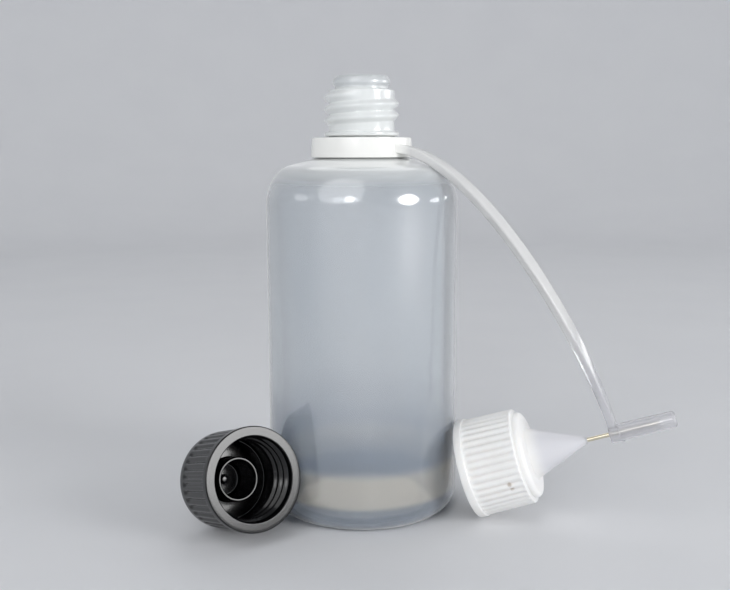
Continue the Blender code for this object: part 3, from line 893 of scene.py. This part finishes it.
# %% The nozzle cap
nozzle_step = 0.85 * mm
dome_edge_radius = 0.95 * mm
dome_crown = 0.1 * mm
cone_base_radius = 4.9 * mm
cone_end_radius = 0.8 * mm
nib_radius = 0.65 * mm
needle_radius = 0.4 * mm
needle_hole = 0.5 * mm
step_radius = end_radius - nozzle_step
cone_base = skirt_length + dome_height
cone_end = cone_base + cone_length
needle_back = nozzle_tip - needle_in - 0.1 * mm
dome_edge_centre = (step_radius - dome_edge_radius, cone_base - dome_edge_radius)
dome_edge = arc(dome_edge_centre, dome_edge_radius, 0, pi / 2, 8)
dome = [Vector((step_radius, skirt_length + 0.02 * mm))] + dome_edge
nose = rounded([
    (dome_edge[-1].x - 0.2 * mm, cone_base, 0),
    (cone_base_radius, cone_base + dome_crown, 0.35 * mm),
    (cone_end_radius, cone_end, 0.25 * mm),
    (nib_radius, cone_end + 0.12 * mm, 0.1 * mm),
    (nib_radius, nozzle_tip, 0.14 * mm),
    (needle_hole, nozzle_tip, 0.03 * mm),
    (needle_hole, needle_back, 0.1 * mm),
    (needle_hole + 0.3 * mm, needle_back - 0.5 * mm, 0),
])
skirt_top = [(end_radius, skirt_length - 0.12 * mm, 0.4 * mm), (step_radius + 0.02 * mm, skirt_length, 0)]
profile = skirt_rows(skirt_top)
profile += rows(spaced(dome, 0.5 * mm), rib_angles)
profile += rows(spaced(nose, 0.5 * mm), even(96))
profile += bore_rows([(needle_hole + 0.4 * mm, needle_back - 0.7 * mm, 0),
                      (plug_radius - plug_wall, cap_bore_depth, 0.4 * mm)])
bm = bmesh.new()
turned(bm, profile, closed=True)
nozzle = make_piece("nozzle_cap_moulding", bm, nozzle_place)
settle(nozzle, white_pp, "nozzle", "nozzle_cap")

# %% [markdown]
# The thick skirt of the nozzle cap is plain white. Its thin cone is painted a
# little greyer, as painted shade for a face that turns away from the light. Two
# measures from the cap's own axis place that: how far along it a point lies, and
# how far out. The second one also finds the valleys between the ribs, which get a
# faint grey of painted shade.

# %% Painted shade on the thin cone and in the rib valleys
cone_shade_colour = "#d9d9dd"
valley_shade_colour = "#d9d3d1"
valley_depth = 0.3 * mm
valley_width = 0.2 * mm
valley_shade_strength = 0.3
tree = white_pp.node_tree
shader = tree.nodes["Principled BSDF"]
place = add(tree, "ShaderNodeTexCoord").outputs["Object"]

offset = add(tree, "ShaderNodeVectorMath", {1: nozzle_place.translation}, {0: place}, operation="SUBTRACT")
along = add(tree, "ShaderNodeVectorMath", {1: needle_axis}, {0: offset.outputs[0]}, operation="DOT_PRODUCT")
across = add(tree, "ShaderNodeVectorMath", {1: needle_axis}, {0: offset.outputs[0]},
             operation="CROSS_PRODUCT")
out = add(tree, "ShaderNodeVectorMath", None, {0: across.outputs[0]}, operation="LENGTH")
# Painted shade: the cone is greyed because it turns away from the light.
cone_shade = add(tree, "ShaderNodeMapRange",
              {"From Min": cone_base - 0.5 * mm, "From Max": cone_base + 3 * mm},
              {"Value": along.outputs["Value"]}, interpolation_type="SMOOTHSTEP")
tinge(tree, shader, cone_shade_colour, cone_shade.outputs[0])
# Painted shade: the rib valleys are greyed, as where less light reaches.
untapered = add(tree, "ShaderNodeMath", {1: skirt_taper / skirt_length},
                {0: along.outputs["Value"], 2: out.outputs["Value"]}, operation="MULTIPLY_ADD")
from_floor = add(tree, "ShaderNodeMath", {1: rim_radius - grip_step - valley_depth},
                 {0: untapered.outputs[0]}, operation="SUBTRACT")
either_way = add(tree, "ShaderNodeMath", None, {0: from_floor.outputs[0]}, operation="ABSOLUTE")
valley_shade = add(tree, "ShaderNodeMapRange",
                {"From Min": valley_width, "From Max": 0.0, "To Max": valley_shade_strength},
                {"Value": either_way.outputs[0]}, interpolation_type="SMOOTHSTEP")
tinge(tree, shader, valley_shade_colour, valley_shade.outputs[0])
print("valleys", round((rim_radius - grip_step - valley_depth) / mm, 2), "mm from the axis at the rim")

# %% [markdown]
# Two specks of brown dirt sit between the ribs, towards the dome.
# Each is a small ball of colour at a point of the skirt, broken up by noise, so
# it stays on the plastic when the cap turns.

# %% Dirt on the nozzle cap
speck_places = ((8.4, 105), (8.6, 111.5))
speck_colour = "#bdb0a4"
speck_core = 0.12 * mm
speck_edge = 0.6 * mm
speck_strength = 0.9
speck_sink = 0.25 * mm
speck_grain = 0.3 * mm
ragged = add(tree, "ShaderNodeTexNoise", {"Scale": 1 / speck_grain}, {"Vector": place})
blur = add(tree, "ShaderNodeMath", {1: 0.5}, {0: ragged.outputs["Fac"]}, operation="ADD")
for along, turned_by in speck_places:
    speck_radius = rim_radius - skirt_taper * along * mm / skirt_length - speck_sink
    turned_by = radians(turned_by)
    spot = nozzle_place @ Vector((speck_radius * cos(turned_by), speck_radius * sin(turned_by), along * mm))
    away = add(tree, "ShaderNodeVectorMath", {1: spot}, {0: place}, operation="DISTANCE")
    rough = add(tree, "ShaderNodeMath", None, {0: away.outputs["Value"], 1: blur.outputs[0]},
                operation="MULTIPLY")
    dirt = add(tree, "ShaderNodeMapRange",
               {"From Min": speck_edge, "From Max": speck_core, "To Max": speck_strength},
               {"Value": rough.outputs[0]}, interpolation_type="SMOOTHSTEP")
    tinge(tree, shader, speck_colour, dirt.outputs[0])
    print("speck at", [round(c / mm, 1) for c in spot], "mm")

# %% [markdown]
# The needle is a blunt steel tube with a burnished end, 0.8 mm across.

# %% The needle
needle_bore_radius = 0.25 * mm
needle_end = nozzle_tip + needle_out
needle_start = nozzle_tip - needle_in
tube = rounded([
    (needle_bore_radius, needle_start + mm, 0),
    (needle_bore_radius, needle_start, 0.02 * mm),
    (needle_radius, needle_start, 0.03 * mm),
    (needle_radius, needle_end, 0.06 * mm),
    (needle_bore_radius, needle_end, 0.04 * mm),
    (needle_bore_radius, needle_start + 2 * mm, 0),
])
bm = bmesh.new()
turned(bm, rows(tube, even(48)), closed=True)
needle = make_piece("needle_tube", bm, nozzle_place)
settle(needle, steel, "nozzle", "needle")

# %% The black cap
black_length = 14.8 * mm
black_round = 3.0 * mm
recess_radius = 3.3 * mm
recess_depth = 13.3 * mm
pin_radius = 0.7 * mm
pin_height = 0.9 * mm
rim_points = [v.co for v in frame["nodes"]["black_cap"].data.vertices]
rim_level = min(p.dot(into_black) for p in rim_points)
rim_points = [p for p in rim_points if p.dot(into_black) < rim_level + 0.01 * mm]
rim_centre = sum(rim_points, Vector()) / len(rim_points)
black_place = Matrix.Translation(rim_centre) @ black_turn
round_centre = (end_radius - black_round, black_length - black_round)
crown_points = arc(round_centre, black_round, radians(8), pi / 2, 12)
profile = skirt_rows([(end_radius, skirt_length, 0.3 * mm), (crown_points[0].x, crown_points[0].y, 0)])
profile += rows(spaced(crown_points[1:] + [Vector((2.5 * mm, black_length))], 0.8 * mm), rib_angles)
profile += rows([Vector((2.4 * mm, black_length)), Vector((0.0, black_length))], even(60))
bm = bmesh.new()
outer_rings = [add_row(bm, row) for row in profile]
pin = [
    (0.0, recess_depth - pin_height, 0),
    (pin_radius, recess_depth - pin_height, 0.45 * mm),
    (pin_radius + 0.1 * mm, recess_depth, 0.2 * mm),
    (recess_radius, recess_depth, 0.5 * mm),
    (plug_radius - plug_wall, cap_bore_depth - 1 * mm, 0.5 * mm),
]
inner_rings = [add_row(bm, row) for row in bore_rows(pin)]
for rings in (outer_rings, inner_rings):
    for lower, above in zip(rings, rings[1:]):
        bridge(bm, lower, above)
bridge(bm, inner_rings[-1], outer_rings[0])
black = make_piece("black_cap_moulding", bm, black_place)
settle(black, black_pp, "root", "black_cap")

# %% [markdown]
# The studio is plain: a pale floor that curves up into a round backdrop, and
# six soft lamps. Three are placed from the photo's highlights on the shoulder:
# mirrored in the wall there, its bright spots point to about 50 degrees right,
# 14 left and 77 left, all 15 to 20 degrees up. The large one on the right hangs
# a little wide and low of its spot, so that the flat rim of the black cap
# mirrors it too. A narrow lamp far right draws the streak down the side. A wide
# wash from the front and a box behind light the plastic from both sides.

# %% Floor and backdrop
floor_radius = 0.55
backdrop_radius = 0.85
backdrop_height = 0.9
floor_corners = [(0.0, 0.0, 0), (backdrop_radius, 0.0, backdrop_radius - floor_radius),
                 (backdrop_radius, backdrop_height, 0)]
bm = bmesh.new()
turned(bm, rows(rounded(floor_corners, radians(6)), even(96)))
studio_floor = make_piece("studio_floor", bm, Matrix.Identity(4))
studio_floor.data.flip_normals()
paper = skin("studio_paper", ("#dcdde0", "#e1e2e4"), 40 * mm, 3 * mm, (0.85, 0.95), 0.01 * mm)[0]
studio_floor.data.materials.append(paper)

# %% Lights
lamp_aim_height = 50 * mm
sky_strength = 0.3


def softbox(name, azimuth, elevation, distance, width, height, power):
    """An oval area light aimed at the bottle; azimuth 0 is the camera's side."""
    lamp = bpy.data.lights.new(name, "AREA")
    lamp.shape = "ELLIPSE"
    lamp.size = width
    lamp.size_y = height
    lamp.energy = power
    made = bpy.data.objects.new(name, lamp)
    bpy.context.scene.collection.objects.link(made)
    away = Vector((sin(azimuth) * cos(elevation), -cos(azimuth) * cos(elevation), sin(elevation)))
    target = bottle_place.translation + Vector((0.0, 0.0, lamp_aim_height))
    made.matrix_world = standing(away, target + away * distance)
    made.visible_camera = False
    print(name, power, "W")


softbox("key_softbox", radians(56.5), radians(14.5), 0.7, 0.26, 0.34, 2.2)
softbox("right_softbox", radians(103), radians(8), 0.7, 0.08, 0.45, 0.4)
softbox("front_softbox", radians(-14), radians(19), 0.7, 0.16, 0.14, 0.35)
softbox("left_softbox", radians(-77), radians(16), 0.7, 0.14, 0.26, 0.15)
softbox("wash_softbox", radians(-28), radians(34), 0.75, 1.0, 0.7, 2.2)
softbox("back_softbox", radians(178), radians(52), 0.8, 0.6, 0.6, 0.9)

sky = bpy.data.worlds.new("studio_air")
sky.use_nodes = True
sky.node_tree.nodes["Background"].inputs["Color"].default_value = linear("#e9edf2")
sky.node_tree.nodes["Background"].inputs["Strength"].default_value = sky_strength
bpy.context.scene.world = sky
bpy.context.scene.view_settings.view_transform = "Standard"
